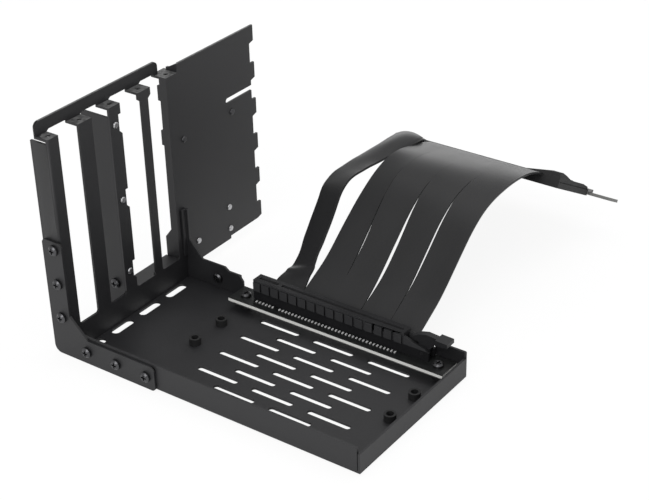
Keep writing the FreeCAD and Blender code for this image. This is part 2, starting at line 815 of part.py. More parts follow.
for side in (-1.0, 1.0):
    outline = sketch_on(housing, "XZ_Plane", -slot_y - half_block * side)
    polygon(outline, [
        (housing_end - 0.5, board_top),
        (pivot_x + 4.0, board_top),
        (pivot_x + 4.0, pivot_z + 1.2),
        (pivot_x + 1.8, pivot_z + 3.0),
        (pivot_x - 4.4, pivot_z + 4.4),
        (housing_end - 0.5, board_top + size["housing_height"] - 1.4),
    ])
    pad(housing, outline, half_block - ear_inner, side < 0)
outline = sketch_on(housing, "XZ_Plane", -slot_y + half_block + 1.0)
circle(outline, pivot_x, pivot_z, size["pivot_radius"] + size["pivot_play"])
pocket(housing, outline, False)

# Latch: a lever on a cross pivot, its hook over the slot's end and a wide thumb pad.
latch = new_body("slot_latch")
half_latch = size["latch_width"] / 2
outline = sketch_on(latch, "XZ_Plane", -slot_y + half_latch)
hook = board_top + size["housing_height"]
polygon(outline, [
    (pivot_x - 2.2, pivot_z - 2.4),
    (pivot_x + 2.2, pivot_z - 2.4),
    (pivot_x + 3.4, pivot_z + 2.4),
    (pivot_x + 6.4, pivot_z + 6.0),
    (pivot_x + 13.8, pivot_z + 7.4),
    (pivot_x + 13.8, pivot_z + 9.2),
    (pivot_x + 7.0, hook + 1.9),
    (pivot_x + 1.6, hook + 2.3),
    (pivot_x - 2.4, hook + 1.2),
    (pivot_x - 5.8, hook - 0.8),
    (pivot_x - 5.4, hook - 2.4),
    (pivot_x - 2.4, hook - 3.0),
])
pad(latch, outline, size["latch_width"], True)
outline = sketch_on(latch, "XZ_Plane", -slot_y + half_block)
polygon(outline, [
    (pivot_x + 7.4, pivot_z + 6.8),
    (pivot_x + 14.0, pivot_z + 7.6),
    (pivot_x + 14.0, pivot_z + 9.8),
    (pivot_x + 7.4, pivot_z + 10.0),
])
pad(latch, outline, size["housing_width"], True)
outline = sketch_on(latch, "XZ_Plane", -slot_y + half_block - 0.2)
circle(outline, pivot_x, pivot_z, size["pivot_radius"])
pad(latch, outline, size["housing_width"] - 0.4, True)

# Contacts: two rows in the gap, and the solder tails in front of the housing.
doc.recompute()
step = size["contact_step"].value
blade = Part.makeBox(0.5 * step, 0.2, size["housing_height"].value - 4.4)
blade.translate(FreeCAD.Vector(-0.25 * step, 0, 0))
tail = Part.makeBox(0.7 * step, 1.3, 0.5)
tail.translate(FreeCAD.Vector(-0.35 * step, -1.3, 0))
contact_inset = 0.8
key_room = contact_inset + 0.4


def row_count(run):
    """How many contacts fit along a run."""
    return int(run.value / step) + 1


before_key = row_count(key - gap_start - key_room)
after_key = row_count(gap_end - key - 1.8 - key_room)
contact_x = [gap_start + contact_inset + size["contact_step"] * number for number in range(before_key)]
contact_x += [gap_end - contact_inset - size["contact_step"] * number for number in range(after_key)]
spots = [at(x, slot_y - half_gap, board_top + 2.3) for x in contact_x]
spots += [at(x, slot_y + half_gap - 0.2, board_top + 2.3) for x in contact_x]
slot_contacts = group("slot_contacts", blade, spots)
spots = [at(x, slot_y - rib_out, board_top) for x in contact_x[::2]]
slot_tails = group("slot_tails", tail, spots)

# Clamp bar with a slanted face, square to the ribbon that leaves it.
clamp = new_body("ribbon_clamp")
outline = sketch_on(clamp, "YZ_Plane", clamp_start)
rise = math.sin(angle)
run = math.cos(angle)
clamp_back = slot_y + rib_out + 0.1
polygon(outline, [
    (clamp_back, board_top),
    (clamp_y + 1.6 * rise, board_top),
    (clamp_y + 1.6 * rise, clamp_z - 1.6 * run),
    (clamp_y - 1.2 * rise, clamp_z + 1.2 * run),
    (clamp_back, clamp_z + 1.2 * run),
])
pad(clamp, outline, clamp_end - clamp_start)


def bent_wire(points):
    """Straight runs joined by tangent arcs, and the tightest radius among the arcs."""
    edges = []
    radii = []
    begin = points[0]
    for before, corner, after in zip(points, points[1:], points[2:]):
        back = before - corner
        ahead = after - corner
        trim = 0.45 * min(back.Length, ahead.Length)
        half_turn = (math.pi - back.getAngle(ahead)) / 2
        radii.append(trim / math.tan(half_turn))
        enter = corner + back.normalize() * trim
        leave = corner + ahead.normalize() * trim
        toward = (back + ahead).normalize()
        middle = corner + toward * radii[-1] * (1 / math.cos(half_turn) - 1)
        edges.append(Part.LineSegment(begin, enter).toShape())
        edges.append(Part.Arc(enter, middle, leave).toShape())
        begin = leave
    edges.append(Part.LineSegment(begin, points[-1]).toShape())
    return Part.Wire(edges), min(radii)


# Ribbon: five flat strips from the clamp over an arch to the plug.
reach = size["ribbon_reach"].value
crest = size["ribbon_crest"].value
drop = size["ribbon_end"].value
lead_in = 10.0
lead_out = 9.0
LOW_STRIP = [(0.166, 0.14), (0.234, 0.31), (0.311, 0.55), (0.409, 0.79), (0.536, 0.936), (0.677, 0.957), (0.821, 0.911)]
NEAR_STRIP = [(0.166, 0.247), (0.285, 0.515), (0.404, 0.821), (0.515, 0.987), (0.643, 1.004), (0.804, 0.915)]
FAR_STRIP = [(0.166, 0.232), (0.285, 0.485), (0.404, 0.74), (0.523, 0.891), (0.677, 0.928), (0.821, 0.898)]
plug_turn = math.radians(size["plug_angle"].value)
strip_width = (ribbon_width.value - 4 * size["ribbon_gap"].value) / 5
half_strip = size["ribbon_thickness"].value / 2
strips = []
for number in range(5):
    share = max(number - 1, 0) / 3
    inner_points = LOW_STRIP
    if number:
        inner_points = []
        for (near_y, near_z), (far_y, far_z) in zip(NEAR_STRIP, FAR_STRIP):
            inner_points.append((near_y + (far_y - near_y) * share, near_z + (far_z - near_z) * share))
    route = [(0.0, 0.0), (lead_in * run, lead_in * rise)]
    route += [(reach * part_y, crest * part_z) for part_y, part_z in inner_points]
    route.append((reach - lead_out * math.cos(plug_turn), drop + lead_out * math.sin(plug_turn)))
    route.append((reach, drop))
    left = ribbon_start.value + (strip_width + size["ribbon_gap"].value) * number
    place = at(left + strip_width / 2, clamp_y, clamp_z).Base
    points = [place + FreeCAD.Vector(0, y, z) for y, z in route]
    path, tightest = bent_wire(points)
    across = FreeCAD.Vector(strip_width / 2, 0, 0)
    up = FreeCAD.Vector(0, -rise, run) * half_strip
    corners = [across + up, up - across, -across - up, across - up]
    profile = Part.makePolygon([points[0] + corner for corner in corners + corners[:1]])
    strip = doc.addObject("Part::Feature", f"ribbon_strip_{number + 1}")
    strip.Label = strip.Name
    strip.Shape = path.makePipeShell([profile], True, False)
    strips.append(strip)
    print(strip.Label, "length", round(path.Length, 1), "tightest bend", round(tightest, 1))
    print([tuple(round(part, 2) for part in point) for point in points])


def plug_body(label):
    """A body whose y runs on along the ribbon's end, with z square to the ribbon."""
    body = doc.addObject("PartDesign::Body", label)
    body.Label = label
    body.Placement = FreeCAD.Placement(FreeCAD.Vector(), FreeCAD.Rotation(FreeCAD.Vector(-1, 0, 0), 1))
    bind(body, "Placement.Rotation.Angle", size["plug_angle"])
    bind(body, "Placement.Base.x", ribbon_start - length / 2)
    bind(body, "Placement.Base.y", clamp_y + size["ribbon_reach"] - width / 2)
    bind(body, "Placement.Base.z", clamp_z + size["ribbon_end"])
    return body


# Plug: a moulded hood on top of a keyed card-edge board with gold fingers.
hood = plug_body("plug_hood")
hood_length = size["hood_length"]
hood_low = -size["hood_depth"]
hood_top = size["ribbon_thickness"] / 2 + 0.3
hood_right = ribbon_width + size["hood_margin"]
outline = sketch_on(hood, "YZ_Plane", -size["hood_margin"] / 2)
polygon(outline, [
    (0.0, hood_low),
    (hood_length, hood_low),
    (hood_length, hood_low + 2.9),
    (hood_length - 2.0, hood_top - 1.2),
    (hood_length - 8.0, hood_top - 0.4),
    (hood_length * 0.46, hood_top - 0.3),
    (hood_length * 0.4, hood_top),
    (0.0, hood_top),
])
pad(hood, outline, hood_right + size["hood_margin"] / 2)
hump_top = hood_top + size["hood_hump"]
outline = sketch_on(hood, "YZ_Plane", 0.6 - size["hood_margin"] / 2)
polygon(outline, [
    (0.4, hood_top - 1.0),
    (hood_length * 0.45, hood_top - 1.0),
    (hood_length * 0.24, hump_top - 1.0),
    (hood_length * 0.1, hump_top),
    (0.4, hump_top - 0.3),
])
pad(hood, outline, hood_right + size["hood_margin"] / 2 - 1.2)
seam = -1.8
for x, back in ((hood_right, False), (-size["hood_margin"] / 2, True)):
    outline = sketch_on(hood, "YZ_Plane", x)
    rectangle(outline, 0.8, hood_length - 1.2, seam - 0.25, seam + 0.25)
    pocket(hood, outline, back, 0.5)
board_under = hood_low + size["hood_floor"]
board_over = board_under + size["board_thickness"]
board_rear = hood_length - size["board_seat"]
outline = sketch_on(hood, "XZ_Plane", -hood_length)
rectangle(outline, 0.0, hood_right - 0.6, board_under, board_over)
pocket(hood, outline, True, size["board_seat"])

edge = plug_body("plug_board")
outline = sketch_on(edge, "XY_Plane", board_under)
edge_front = hood_length + size["edge_length"]
edge_key = 12.6
polygon(outline, [
    (0.0, board_rear),
    (hood_right - 0.6, board_rear),
    (hood_right - 0.6, edge_front - 13.0),
    (hood_right + 12.0, edge_front - 13.0),
    (hood_right + 12.0, edge_front - 1.5),
    (hood_right + 7.5, edge_front - 1.5),
    (hood_right + 5.5, edge_front - 4.5),
    (hood_right - 6.0, edge_front - 4.5),
    (hood_right - 7.5, edge_front),
    (edge_key + 1.9, edge_front),
    (edge_key + 1.9, edge_front - 7.5),
    (edge_key, edge_front - 7.5),
    (edge_key, edge_front),
    (0.0, edge_front),
])
pad(edge, outline, size["board_thickness"])
doc.recompute()

finger = Part.makeBox(0.7 * step, 5.6, 0.1)
finger_room = 0.7 * step + 0.6
first_finger = edge_key + 2.9
finger_x = [1.0 + step * number for number in range(row_count(as_dim(edge_key - 1.0 - finger_room)))]
after_key = row_count(hood_right - 7.5 - finger_room - first_finger)
finger_x += [first_finger + step * number for number in range(after_key)]
spots = []
for x in finger_x:
    for z in (board_over.value, board_under.value - 0.1):
        local = FreeCAD.Placement(FreeCAD.Vector(x, edge_front.value - 6.4, z), FreeCAD.Rotation())
        spots.append(edge.Placement.multiply(local))
plug_contacts = group("plug_contacts", finger, spots)

doc.recompute()
nodes = [tray, frame, divider, divider_rivets, gusset, gusset_screws, bracket, side_screws, plate_rivets]
nodes += [standoffs, riser_screws, riser_base, riser_board, housing, slot_contacts, slot_tails, latch, clamp]
nodes += strips + [hood, edge, plug_contacts]
for item in doc.Objects:
    if "Invalid" in item.State or "Error" in item.State:
        raise ValueError(f"{item.Label} did not compute")
os.makedirs("parts", exist_ok=True)
for node in nodes:
    if node.Shape.isNull() or not node.Shape.isValid():
        raise ValueError(f"{node.Label} has no valid shape")
    node.Shape.exportStep(f"parts/{node.Label}.step")
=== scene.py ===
"""Dressed scene of the upright card mount: materials, edges, ribbon, stage, light and camera."""
import math

import bmesh
import bpy
from mathutils import Matrix, Vector


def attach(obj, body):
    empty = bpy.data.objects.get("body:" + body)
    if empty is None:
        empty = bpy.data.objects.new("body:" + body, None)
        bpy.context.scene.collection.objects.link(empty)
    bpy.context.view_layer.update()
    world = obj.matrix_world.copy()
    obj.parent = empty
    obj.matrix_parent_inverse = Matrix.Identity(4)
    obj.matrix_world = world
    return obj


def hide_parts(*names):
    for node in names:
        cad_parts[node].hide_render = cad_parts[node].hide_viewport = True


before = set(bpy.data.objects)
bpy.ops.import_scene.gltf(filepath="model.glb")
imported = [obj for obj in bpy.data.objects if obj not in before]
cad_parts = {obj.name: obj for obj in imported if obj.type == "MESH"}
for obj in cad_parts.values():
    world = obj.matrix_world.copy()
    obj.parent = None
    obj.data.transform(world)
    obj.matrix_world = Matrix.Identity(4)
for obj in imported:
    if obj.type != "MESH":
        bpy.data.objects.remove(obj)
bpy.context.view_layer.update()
MM = 0.001
BODY = "mount"


class Wire:
    """One output of a shader tree, with the arithmetic of Math nodes."""

    def __init__(self, paint, socket):
        self.paint = paint
        self.socket = socket

    def _math(self, operation, first, second=None):
        inputs = {0: first}
        if second is not None:
            inputs[1] = second
        return self.paint.make("ShaderNodeMath", inputs, operation=operation)

    def __add__(self, other):
        return self._math("ADD", self, other)

    def __radd__(self, other):
        return self._math("ADD", other, self)

    def __sub__(self, other):
        return self._math("SUBTRACT", self, other)

    def __rsub__(self, other):
        return self._math("SUBTRACT", other, self)

    def __mul__(self, other):
        return self._math("MULTIPLY", self, other)

    def __rmul__(self, other):
        return self._math("MULTIPLY", other, self)

    def __gt__(self, other):
        return self._math("GREATER_THAN", self, other)

    def __abs__(self):
        return self._math("ABSOLUTE", self)

    def sine(self):
        return self._math("SINE", self)

    def clamp(self):
        return self.paint.make("ShaderNodeClamp", {"Value": self})

    def spread(self, gain):
        """Stretch a value of 0 to 1 about its middle."""
        return (self * gain - (gain - 1) / 2).clamp()


class Paint:
    """A material being built around one Principled shader."""

    # Sockets of a Mix node that mixes colours.
    MIX_FIRST = 6
    MIX_SECOND = 7
    MIX_OUT = 2

    def __init__(self, name):
        self.material = bpy.data.materials.new(name)
        self.material.use_nodes = True
        self.tree = self.material.node_tree
        self.shader = self.tree.nodes["Principled BSDF"]

    def make(self, kind, inputs=None, out=0, **settings):
        """Add a node, set its properties, feed its inputs and hand back one output."""
        node = self.tree.nodes.new(kind)
        for key, value in settings.items():
            setattr(node, key, value)
        for key, value in (inputs or {}).items():
            self.join(value, node.inputs[key])
        return Wire(self, node.outputs[out])

    def join(self, value, socket):
        """Link a wire to a socket, or set the socket's own value."""
        if isinstance(value, Wire):
            self.tree.links.new(value.socket, socket)
        else:
            socket.default_value = value

    def feed(self, **values):
        """Set or link inputs of the Principled shader; underscores stand for spaces."""
        for key, value in values.items():
            self.join(value, self.shader.inputs[key.replace("_", " ")])
        return self

    def axis(self, vector, letter):
        """One part of a vector."""
        return self.make("ShaderNodeSeparateXYZ", {"Vector": vector}, out=letter)

    def place(self, letter):
        """One object coordinate, in metres."""
        return self.axis(self.make("ShaderNodeTexCoord", out="Object"), letter)

    def facing(self, letter):
        """How far the surface faces along an axis, from -1 to 1."""
        return self.axis(self.make("ShaderNodeNewGeometry", out="Normal"), letter)

    def noise(self, scale, detail=2.0, stretch=(1, 1, 1)):
        """Soft noise from 0 to 1, scale features to a metre."""
        where = self.make("ShaderNodeTexCoord", out="Object")
        where = self.make("ShaderNodeMapping", {"Vector": where, "Scale": stretch})
        return self.make("ShaderNodeTexNoise", {"Vector": where, "Scale": scale, "Detail": detail}, out="Fac")

    def blend(self, share, first, second):
        """Mix two colours."""
        first, second = (end + (1,) if isinstance(end, tuple) else end for end in (first, second))
        inputs = {"Factor": share, self.MIX_FIRST: first, self.MIX_SECOND: second}
        return self.make("ShaderNodeMix", inputs, out=self.MIX_OUT, data_type="RGBA")

    def relief(self, height, depth, strength):
        """Bump from a height of 0 to 1, depth metres high."""
        bump = self.make("ShaderNodeBump", {"Height": height, "Distance": depth, "Strength": strength})
        return self.feed(Normal=bump)


# Finishes. Heights are above the floor, and a facing is the part of a face's normal along an axis.
LEDGE = 113.5 * MM
RIB_FOOT = 12.6 * MM
RIVET_PAINTED = 45 * MM
LEVEL_FACING = 0.9
FRONT_FACING = 0.6
FLAT_FACING = 0.6
CONDUCTOR_PITCH = 1.27 * MM
# Paler colour painted on the screw ledges' tops as a highlight.
LEDGE_HIGHLIGHT_PAINT = (0.10, 0.10, 0.10)
# Paler colour painted on the housing's rib fronts as a highlight.
RIB_HIGHLIGHT_PAINT = (0.040, 0.040, 0.042)
RIVET_PAINT = (0.035, 0.035, 0.038)
COAT_IOR = 1.5
PLASTIC_IOR = 1.47
MATT_IOR = 1.3


def powder_coat(name, dark, light, rough):
    """Matt stoved powder on steel: a fine pebble, cloudy gloss and a painted highlight that makes the
    up-facing screw ledges paler, as if lit from above.
    """
    paint = Paint(name)
    cloud = paint.noise(scale=38.0, detail=3.0)
    pebble = paint.noise(scale=1900.0)
    on_ledge = (paint.facing("Z") > LEVEL_FACING) * (paint.place("Z") > LEDGE)
    # Painted highlight: up-facing ledge tops above the ledge height are blended paler in noisy patches,
    # standing in for light from above.
    painted_ledge_light = on_ledge * (paint.noise(scale=420.0, detail=3.0) * 2.4 - 0.5).clamp()
    coat = paint.blend(cloud.spread(1.6), dark, light)
    paint.feed(
        Base_Color=paint.blend(painted_ledge_light, coat, LEDGE_HIGHLIGHT_PAINT),
        Roughness=(rough + cloud * 0.10 + pebble * 0.06),
        IOR=COAT_IOR,
    )
    return paint.relief(pebble, depth=0.06 * MM, strength=0.55).material


def moulded(name, dark, light, rough, ribs=None):
    """Moulded plastic with a spark-eroded grain; above the ribs' foot the front faces get a painted
    highlight, paler as if the ribs catch the light.
    """
    paint = Paint(name)
    grain = paint.noise(scale=2600.0, detail=3.0)
    flow = paint.noise(scale=60.0)
    shade = paint.blend(flow.spread(1.8), dark, light)
    if ribs:
        # Painted highlight: front faces above the ribs' foot are blended paler, standing in for the light the
        # ribs catch.
        lit_rib_front = (paint.facing("Y") * -1 > FRONT_FACING) * (paint.place("Z") > ribs)
        shade = paint.blend(lit_rib_front * (0.5 + flow * 0.6), shade, RIB_HIGHLIGHT_PAINT)
    paint.feed(Base_Color=shade, Roughness=(rough + grain * 0.16), IOR=MATT_IOR if ribs else PLASTIC_IOR)
    return paint.relief(grain, depth=0.05 * MM, strength=0.6).material


def board(name, face, rim, axis):
    """Solder resist on laminate: dark faces with faint tracks, pale cut edges."""
    paint = Paint(name)
    normal = paint.make("ShaderNodeNewGeometry", out="Normal")
    across = paint.make("ShaderNodeVectorMath", {0: normal, 1: axis}, out="Value", operation="DOT_PRODUCT")
    flat = abs(across) > FLAT_FACING
    weave = paint.noise(scale=900.0, stretch=(1, 6, 6))
    tracks = (paint.noise(scale=260.0, detail=0.0, stretch=(0.15, 1, 1)) * 26.0).sine() > 0.55
    top = paint.blend(tracks * 0.6, face, tuple(part * 1.7 for part in face))
    side = paint.blend(weave, rim, tuple(part * 0.72 for part in rim))
    paint.feed(Base_Color=paint.blend(flat, side, top), Roughness=(0.62 - flat * 0.26), IOR=COAT_IOR)
    return paint.relief(tracks * flat, depth=0.02 * MM, strength=0.5).material


def metal(name, dark, light, rough, grain, painted=None):
    """Plated or oxidised metal with fine brushing, painted over above a height where one is given."""
    paint = Paint(name)
    brush = paint.noise(scale=grain, stretch=(1, 1, 0.15))
    shade = paint.blend(brush, dark, light)
    if painted:
        shade = paint.blend((paint.place("Z") > painted) * 0.9, shade, RIVET_PAINT)
    paint.feed(Base_Color=shade, Roughness=(rough + brush * 0.14), Metallic=1.0)
    return paint.relief(brush, depth=0.01 * MM, strength=0.4).material


def sheath(name, dark, light):
    """Satin flat cable: conductor lines along its length under a smooth skin."""
    paint = Paint(name)
    lines = (paint.place("X") * (2 * math.pi / CONDUCTOR_PITCH)).sine() * 0.5 + 0.5
    scuff = paint.noise(scale=55.0, detail=4.0, stretch=(1, 0.35, 0.35))
    skin = paint.noise(scale=1500.0)
    paint.feed(
        Base_Color=paint.blend(scuff.spread(1.7), dark, light),
        Roughness=(0.30 + scuff * 0.14),
        IOR=MATT_IOR,
    )
    return paint.relief(lines * 0.5 + skin * 0.25, depth=0.03 * MM, strength=0.6).material


ZINC = ((0.30, 0.30, 0.31), (0.62, 0.62, 0.63), 0.24, 900.0)
STEEL = powder_coat("black_powder_coat", (0.007, 0.007, 0.0082), (0.0115, 0.0115, 0.013), 0.46)
SCREW = metal("black_oxide", (0.05, 0.05, 0.053), (0.12, 0.12, 0.125), 0.26, 900.0)
RIVET = metal("bright_zinc", *ZINC)
PLATE_RIVET = metal("part_painted_zinc", *ZINC, RIVET_PAINTED)
PLASTIC = moulded("moulded_black", (0.007, 0.007, 0.008), (0.012, 0.012, 0.0135), 0.42)
HOUSING = moulded("slot_plastic", (0.006, 0.006, 0.007), (0.010, 0.010, 0.011), 0.5, RIB_FOOT)
INSULATOR = moulded("insulating_sheet", (0.05, 0.05, 0.052), (0.065, 0.065, 0.068), 0.5)
DULL = moulded("dull_black", (0.003, 0.003, 0.0034), (0.006, 0.006, 0.0065), 0.6)
LUG = moulded("grey_laminate", (0.13, 0.13, 0.13), (0.17, 0.17, 0.17), 0.45)
TIN = moulded("tinned_copper", (0.42, 0.42, 0.42), (0.62, 0.62, 0.62), 0.35)
RISER = board("riser_resist", (0.006, 0.0065, 0.0065), (0.90, 0.90, 0.87), (0, 0, 1))
PLUG = board("plug_resist", (0.02, 0.02, 0.02), (0.16, 0.16, 0.155), (0, 0.4924, 0.8704))
GOLD = metal("gold_plate", (0.72, 0.50, 0.20), (0.86, 0.64, 0.30), 0.22, 700.0)
RIBBON = sheath("ribbon_sheath", (0.017, 0.017, 0.0176), (0.022, 0.022, 0.0228))

for node, material in (
    ("standoffs", DULL),
    ("riser_base", INSULATOR),
    ("riser_board", RISER),
    ("slot_contacts", GOLD),
    ("slot_tails", TIN),
    ("plug_board", PLUG),
    ("plug_contacts", GOLD),
):
    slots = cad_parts[node].data.materials
    slots.clear()
    slots.append(material)


# Ribbon: where it starts, how far it reaches, how high it arches and how far up it ends.
START = Vector((0, 45.1, 14.0)) * MM
REACH = 117.5 * MM
CREST = 47.0 * MM
DROP = 34.0 * MM
LEAD_IN = 10.0 * MM
LEAD_OUT = 9.0 * MM
IN_TURN = math.radians(28)
OUT_TURN = math.radians(29.5)
STRIPS = 5
STRIP = 16.6 * MM
STRIP_GAP = 0.5 * MM
FIRST_EDGE = -28.6 * MM
THICK = 1.1 * MM
BOOT = 0.2 * MM
BOOT_RINGS = 4
# Inner points of the routes of the loose first strip, the second and the fifth: a shift in mm, then
# shares of the reach and of the arch's height.
LOOSE = [
    (-2.2, 0.147, 0.1), (-2.6, 0.216, 0.3), (-2.3, 0.302, 0.575), (-3.8, 0.398, 0.825),
    (1.0, 0.538, 0.905), (5.5, 0.705, 0.94), (5.0, 0.875, 0.915),
]
SECOND = [
    (0, 0.166, 0.247), (0, 0.285, 0.515), (0, 0.404, 0.821),
    (0, 0.515, 0.987), (0, 0.643, 1.004), (0, 0.804, 0.915),
]
FIFTH = [
    (0, 0.166, 0.232), (0, 0.285, 0.485), (0, 0.404, 0.74),
    (0, 0.523, 0.891), (0, 0.677, 0.928), (0, 0.821, 0.898),
]
# The loose first strip's twist along its length, in degrees.
LOOSE_TWIST = [0, -16, -26, -28, -24, -23, -24, -22, -16, -12, -8, -6, -6, -4, 0]
# Strips 2 to 5 lie as one sheet. Left of its second strip's right edge it leans down towards the
# loose strip, and past the crest it leans back up.
SHEET_STEPS = STRIPS - 2
LEAN_EDGE = 1.5
LEAN = 0.85
LEAN_FADE = [1, 1, 1, 0.6, -0.2, -0.6]
# Swells along a strip: how much, and between which shares of the length. A slit lies left of each
# strip and right of the last. The second strip is drawn in on its left, and the first is cupped.
SLITS = [
    (0, 0, 1), (0, 0, 1), (0.66 * MM, 0.12, 0.44),
    (1.9 * MM, -0.06, 0.57), (1.0 * MM, 0.0, 0.65), (0, 0, 1),
]
NARROWED = (1.5 * MM, -0.1, 0.75)
TUCKED = (5 * MM, 0.25, 1.2)
CUPPED = (3.2 * MM, 0.55, 1)
# Past a slit's ends the strips' edges run together.
SEALED = 0.1 * MM
# A strip's section: spans across a face, steps round an edge and the edge's share of half the thickness.
SPANS = 12
EDGE_STEPS = 6
EDGE_SHARE = 0.16
CREASE = math.radians(40)
# Plug: where the ribbon enters it, which way its faces look, and the hood's hump and lug.
PLUG_END = START + Vector((0, REACH, DROP))
PLUG_ALONG = Vector((0, math.cos(OUT_TURN), -math.sin(OUT_TURN)))
PLUG_UP = Vector((0, math.sin(OUT_TURN), math.cos(OUT_TURN)))
HOOD_TOP = 0.66 * MM
HOOD_LEFT = -29.6 * MM
HOOD_LEFT_KEPT = 0.1
HUMP_FADE = 46 * MM
HUMP_FULL = 60 * MM
HUMP_KEPT = 0.03
LUG_LOW = Vector((58.0, 40.0, -2.9)) * MM
LUG_SIZE = Vector((9.0, 6.0, 1.7)) * MM
LUG_EDGE = 0.25 * MM
# Rolled edges: what counts as one corner, one plane, a sharp edge and a face too narrow to roll.
CORNER = 0.002 * MM
PLANE_TURN = math.radians(1.5)
SHARP_TURN = math.radians(35)
NARROW_FACE = 3


def add_piece(name, mesh, material, body=BODY):
    """Put a mesh in the scene as one piece that rides on a body."""
    piece = bpy.data.objects.new(name, mesh)
    bpy.context.scene.collection.objects.link(piece)
    mesh.materials.append(material)
    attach(piece, body)
    return piece


def roll_edges(work, edges, width):
    """Round edges of a bmesh."""
    bmesh.ops.bevel(
        work, geom=edges, offset=width, offset_type="OFFSET", affect="EDGES", segments=2,
        profile=0.5, material=-1, clamp_overlap=True,
    )


def finished(work, name):
    """Turn a bmesh into a mesh and let it go."""
    mesh = bpy.data.meshes.new(name)
    work.to_mesh(mesh)
    work.free()
    return mesh


def lower_hump(work):
    """Leave the hood's hump only at its near end, and draw in its far end behind the first strip."""
    for cut in (HUMP_FADE, HUMP_FULL):
        bmesh.ops.bisect_plane(
            work, geom=work.verts[:] + work.edges[:] + work.faces[:],
            plane_co=(cut, 0, 0), plane_no=(1, 0, 0),
        )
    for vertex in work.verts:
        rise = (vertex.co - PLUG_END).dot(PLUG_UP) - HOOD_TOP
        vertex.co.x = max(vertex.co.x, HOOD_LEFT + (vertex.co.x - HOOD_LEFT) * HOOD_LEFT_KEPT)
        if rise > 0:
            share = (vertex.co.x - HUMP_FADE) / (HUMP_FULL - HUMP_FADE)
            vertex.co -= PLUG_UP * rise * (1 - min(max(share, HUMP_KEPT), 1))


def softened(node, width, material, body=BODY):
    """Stand a copy of a CAD node with rolled edges in the node's place."""
    work = bmesh.new()
    work.from_mesh(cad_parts[node].data)
    bmesh.ops.remove_doubles(work, verts=work.verts, dist=CORNER)
    bmesh.ops.dissolve_limit(
        work, angle_limit=PLANE_TURN, verts=work.verts, edges=work.edges, delimit=set()
    )
    narrow = {
        face for face in work.faces
        if face.calc_area() < NARROW_FACE * width * max(edge.calc_length() for edge in face.edges)
    }
    sharp = [
        edge for edge in work.edges
        if len(edge.link_faces) == 2 and edge.calc_face_angle() > SHARP_TURN
        and narrow.isdisjoint(edge.link_faces)
    ]
    roll_edges(work, sharp, width)
    if node == "plug_hood":
        lower_hump(work)
    mesh = finished(work, node + "_softened")
    for face in mesh.polygons:
        face.use_smooth = True
    piece = add_piece(node + "_softened", mesh, material, body)
    weighted = piece.modifiers.new("even normals", "WEIGHTED_NORMAL")
    weighted.weight = 100
    weighted.keep_sharp = True
    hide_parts(node)
    return piece


dressed = {}
for node, width, material, slot in (
    ("tray", 0.22 * MM, STEEL, "black_steel"),
    ("rear_frame", 0.22 * MM, STEEL, "black_steel"),
    ("divider", 0.22 * MM, STEEL, "black_steel"),
    ("corner_gusset", 0.25 * MM, STEEL, "black_steel"),
    ("side_bracket", 0.22 * MM, STEEL, "black_steel"),
    ("slot_housing", 0.12 * MM, HOUSING, "black_plastic"),
    ("ribbon_clamp", 0.3 * MM, PLASTIC, "black_plastic"),
    ("plug_hood", 0.2 * MM, DULL, "black_plastic"),
    ("gusset_screws", 0.14 * MM, SCREW, "black_screw"),
    ("side_screws", 0.14 * MM, SCREW, "black_screw"),
    ("riser_screws", 0.14 * MM, SCREW, "black_screw"),
    ("divider_rivets", 0.12 * MM, RIVET, "rivet"),
    ("plate_rivets", 0.12 * MM, PLATE_RIVET, "rivet"),
):
    dressed[node] = softened(node, width, material)
softened("slot_latch", 0.15 * MM, PLASTIC, "latch")


def route(number):
    """Control points from the clamp to the plug: a strip's middle line, or an edge at half a number."""
    middle = FIRST_EDGE + STRIP / 2 + (STRIP + STRIP_GAP) * number
    inner = LOOSE
    if number:
        share = (number - 1) / SHEET_STEPS
        lean = max(LEAN_EDGE - number, 0) * (LEAN + 1 / SHEET_STEPS)
        inner = [
            Vector(second).lerp(Vector(fifth), share + lean * fade)
            for second, fifth, fade in zip(SECOND, FIFTH, LEAN_FADE)
        ]
    line = [(0, 0, 0), (0, LEAD_IN * math.cos(IN_TURN), LEAD_IN * math.sin(IN_TURN))]
    line += [(x * MM, REACH * y, CREST * z) for x, y, z in inner]
    line.append((0, REACH - LEAD_OUT * math.cos(OUT_TURN), DROP + LEAD_OUT * math.sin(OUT_TURN)))
    line.append((0, REACH, DROP))
    return [START + Vector((middle, 0, 0)) + Vector(point) for point in line]


def smooth_line(points):
    """Points along the NURBS spline that has the route as its control points."""
    curve = bpy.data.curves.new("route", "CURVE")
    curve.dimensions = "3D"
    curve.resolution_u = 14
    spline = curve.splines.new("NURBS")
    spline.points.add(len(points) - 1)
    for target, point in zip(spline.points, points):
        target.co = (*point, 1)
    spline.order_u = 3
    spline.use_endpoint_u = True
    holder = bpy.data.objects.new("route", curve)
    mesh = bpy.data.meshes.new_from_object(holder)
    line = [vertex.co.copy() for vertex in mesh.vertices]
    bpy.data.objects.remove(holder)
    bpy.data.curves.remove(curve)
    bpy.data.meshes.remove(mesh)
    return line


def swell(share, amount, low, high):
    """A smooth hump of an amount between two shares of the length, 0 outside them."""
    if not low < share < high:
        return 0.0
    return amount * math.sin(math.pi * (share - low) / (high - low)) ** 2


def turned(share):
    """The first strip's twist at a share of its length, eased between its listed angles."""
    spot = share * (len(LOOSE_TWIST) - 1)
    before = min(int(spot), len(LOOSE_TWIST) - 2)
    ease = spot - before
    ease = ease * ease * (3 - 2 * ease)
    return math.radians(LOOSE_TWIST[before] * (1 - ease) + LOOSE_TWIST[before + 1] * ease)


def half_width(share, opening, low, high):
    """How far a strip reaches to one side, up to the slit there or run together with its neighbour."""
    sealed = 0 if low < share < high else SEALED
    return STRIP / 2 + STRIP_GAP / 2 + sealed - swell(share, opening, low, high) / 2


